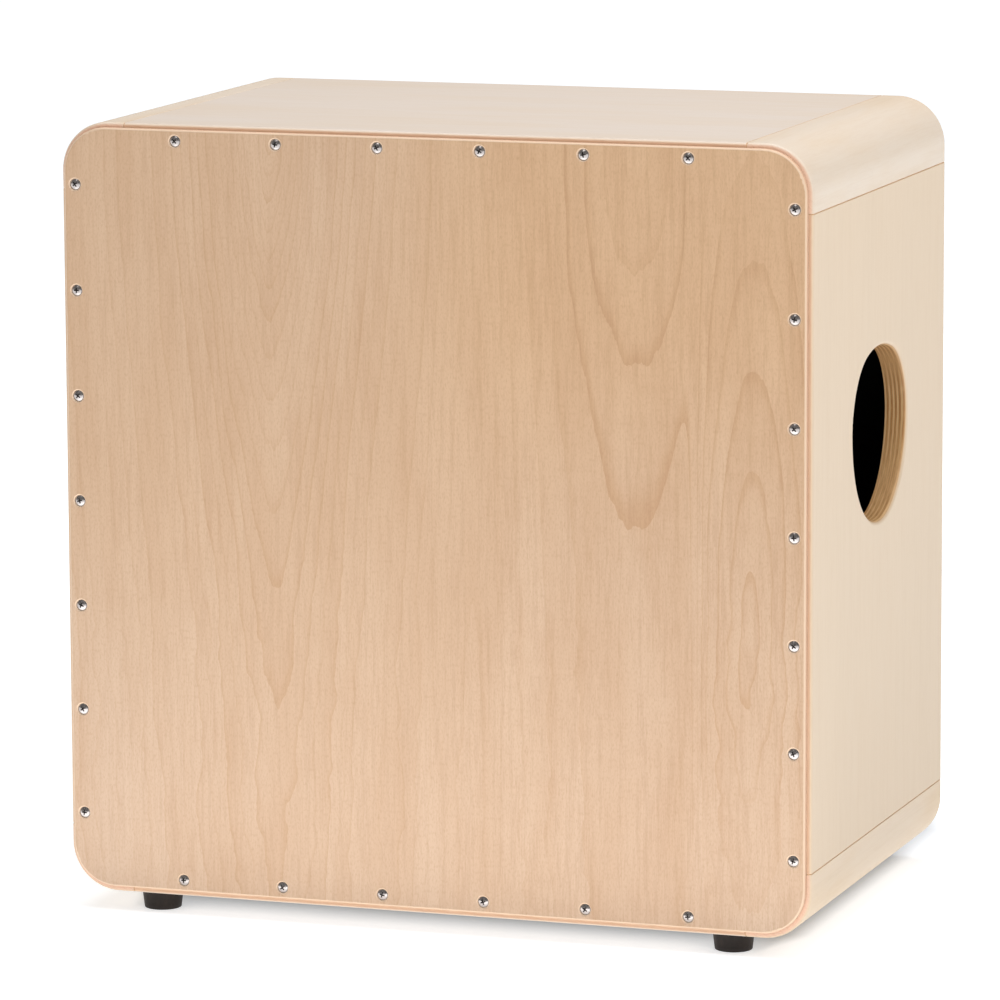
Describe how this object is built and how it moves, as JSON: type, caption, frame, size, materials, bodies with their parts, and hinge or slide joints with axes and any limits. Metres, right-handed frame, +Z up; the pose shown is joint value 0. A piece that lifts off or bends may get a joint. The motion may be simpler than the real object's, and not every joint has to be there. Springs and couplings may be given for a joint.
{
  "type": "bass cajon",
  "caption": "Box drum with rounded corners: plywood panels and solid wood corner blocks, thin plates screwed on at the front and back, a sound port in the right side and rubber feet.",
  "frame": {"origin": "on the floor, under the middle of the box, so the feet stand at z = 0", "axes": "+Z up; the played front plate faces -Y; +X is the right hand side seen from the front, where the sound port is"},
  "size_m": [0.5, 0.3188, 0.513],
  "materials": {
    "plate_ply": "thin plywood with a flame-figured face veneer, vertical grain, satin clear lacquer",
    "panel_ply": "pale plywood with thin dark glue plies at its edges, satin clear lacquer",
    "corner_wood": "pale solid wood, fine straight grain along the block, satin clear lacquer",
    "spline_ply": "raw thin plywood",
    "screw_steel": "bright nickel plated steel",
    "washer_steel": "zinc plated steel, dull",
    "foot_rubber": "matt black-brown moulded rubber"
  },
  "bodies": {
    "root": {"front_plate": "plate_ply", "back_plate": "plate_ply", "top_panel": "panel_ply", "bottom_panel": "panel_ply", "left_side_panel": "panel_ply", "right_side_panel": "panel_ply", "corner_block_top_left": "corner_wood", "corner_block_top_right": "corner_wood", "corner_block_bottom_left": "corner_wood", "corner_block_bottom_right": "corner_wood", "front_plate_screws": "screw_steel", "back_plate_screws": "screw_steel", "spline_top_left": "spline_ply", "spline_top_right": "spline_ply", "spline_bottom_left": "spline_ply", "spline_bottom_right": "spline_ply", "spline_left_upper": "spline_ply", "spline_left_lower": "spline_ply", "spline_right_upper": "spline_ply", "spline_right_lower": "spline_ply", "foot_front_left": "foot_rubber", "foot_washer_front_left": "washer_steel", "foot_screw_front_left": "screw_steel", "foot_front_right": "foot_rubber", "foot_washer_front_right": "washer_steel", "foot_screw_front_right": "screw_steel", "foot_rear_left": "foot_rubber", "foot_washer_rear_left": "washer_steel", "foot_screw_rear_left": "screw_steel", "foot_rear_right": "foot_rubber", "foot_washer_rear_right": "washer_steel", "foot_screw_rear_right": "screw_steel"}
  },
  "joints": []
}
